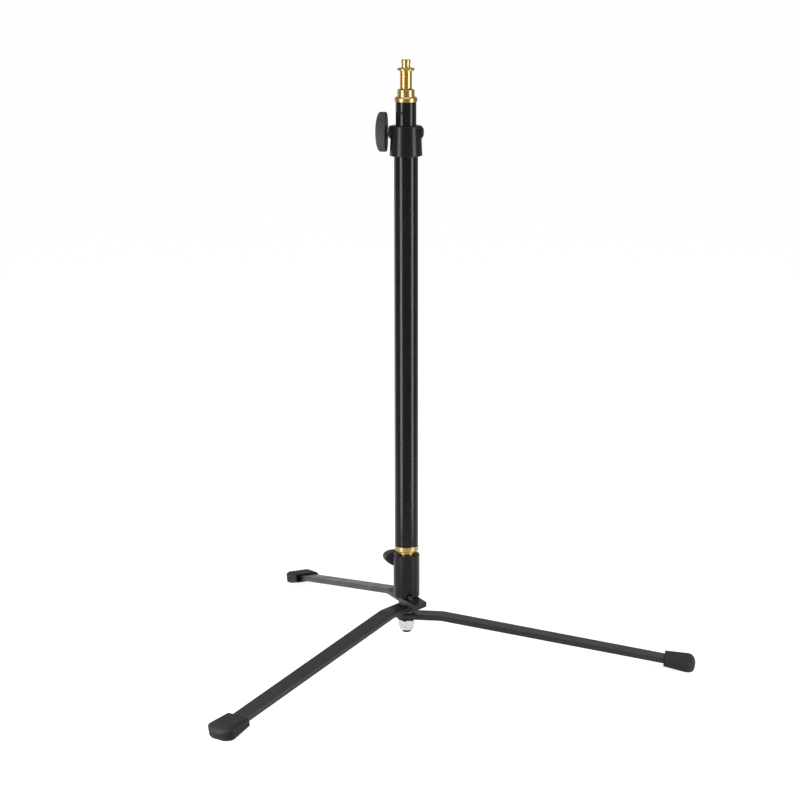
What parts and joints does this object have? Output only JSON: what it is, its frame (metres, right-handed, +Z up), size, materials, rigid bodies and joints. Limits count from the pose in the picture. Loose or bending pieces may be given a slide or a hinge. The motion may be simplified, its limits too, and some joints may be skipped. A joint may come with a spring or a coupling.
{
  "type": "light stand",
  "caption": "Low stand for a lamp: a telescoping black pole with a brass stud, clamped in a socket column on flat legs that fold in stacked layers and end in rubber boots.",
  "frame": {"origin": "the middle of the stand's bounding box at floor level; the common axis of the pole and of the pivot bolt stands at x = -0.050183 and y = -0.013264", "axes": "+Z up along the pole; +X to the right and +Y away from the viewer of the picture, so that the legs point at azimuths of -8.4, 115.3 and 233.2 degrees from +X towards +Y"},
  "size_m": [0.4476, 0.479, 0.57],
  "materials": {
    "brass": "turned and polished brass",
    "gloss_black_enamel": "gloss black enamel on steel",
    "satin_black_enamel": "satin black enamel on steel",
    "satin_black_casting": "satin black coated metal",
    "black_plastic": "moulded black plastic with a fine texture",
    "black_rubber": "matte moulded rubber",
    "black_nylon": "plain black nylon",
    "zinc_plated_steel": "bright zinc plate",
    "black_oxide_steel": "black oxide on steel"
  },
  "bodies": {
    "base": {"base_column": "satin_black_casting", "leg_back": "satin_black_enamel", "boot_back": "black_rubber", "spacer_upper": "black_nylon", "spacer_lower": "black_nylon", "bottom_washer": "black_oxide_steel", "pivot_bolt": "black_oxide_steel", "lock_nut": "zinc_plated_steel", "nut_insert": "black_nylon", "base_pad": "brass"},
    "pole": {"outer_tube": "gloss_black_enamel", "collar": "satin_black_casting", "collar_rivet": "satin_black_casting", "guide_ring": "black_nylon", "pole_spigot": "brass", "spigot_rivet": "gloss_black_enamel", "height_pad": "brass"},
    "riser_bush": {"inner_tube_bush": "black_nylon"},
    "riser": {"inner_tube": "gloss_black_enamel", "top_stud": "brass", "stud_rivet": "gloss_black_enamel"},
    "height_clamp": {"height_knob": "black_plastic", "height_screw": "zinc_plated_steel"},
    "base_clamp": {"base_knob": "black_plastic", "base_screw": "zinc_plated_steel"},
    "front_leg": {"leg_front": "satin_black_enamel", "boot_front": "black_rubber"},
    "right_leg": {"leg_right": "satin_black_enamel", "boot_right": "black_rubber"}
  },
  "joints": [
    {"name": "pole_lift", "type": "slide", "parent": "base", "child": "pole", "axis": [0, 0, 1], "range_m": [0, 0.028]},
    {"name": "riser_slide", "type": "slide", "parent": "pole", "child": "riser_bush", "axis": [0, 0, 1], "range_m": [0, 0.28]},
    {"name": "riser_turn", "type": "hinge", "parent": "riser_bush", "child": "riser", "pos_m": [-0.05018, -0.01326, 0.5], "axis": [0, 0, 1], "continuous": true},
    {"name": "height_knob_turn", "type": "hinge", "parent": "pole", "child": "height_clamp", "pos_m": [-0.05018, -0.01326, 0.5042], "axis": [-0.9848, 0.1736, 0], "range_deg": [0, 360]},
    {"name": "base_knob_turn", "type": "hinge", "parent": "base", "child": "base_clamp", "pos_m": [-0.05018, -0.01326, 0.092], "axis": [-0.2924, 0.9563, 0], "range_deg": [0, 360]},
    {"name": "front_leg_swing", "type": "hinge", "parent": "base", "child": "front_leg", "pos_m": [-0.05018, -0.01326, 0.05], "axis": [0, 0, 1], "range_deg": [-108, 54]},
    {"name": "right_leg_swing", "type": "hinge", "parent": "base", "child": "right_leg", "pos_m": [-0.05018, -0.01326, 0.0416], "axis": [0, 0, -1], "range_deg": [-113.5, 54]}
  ]
}
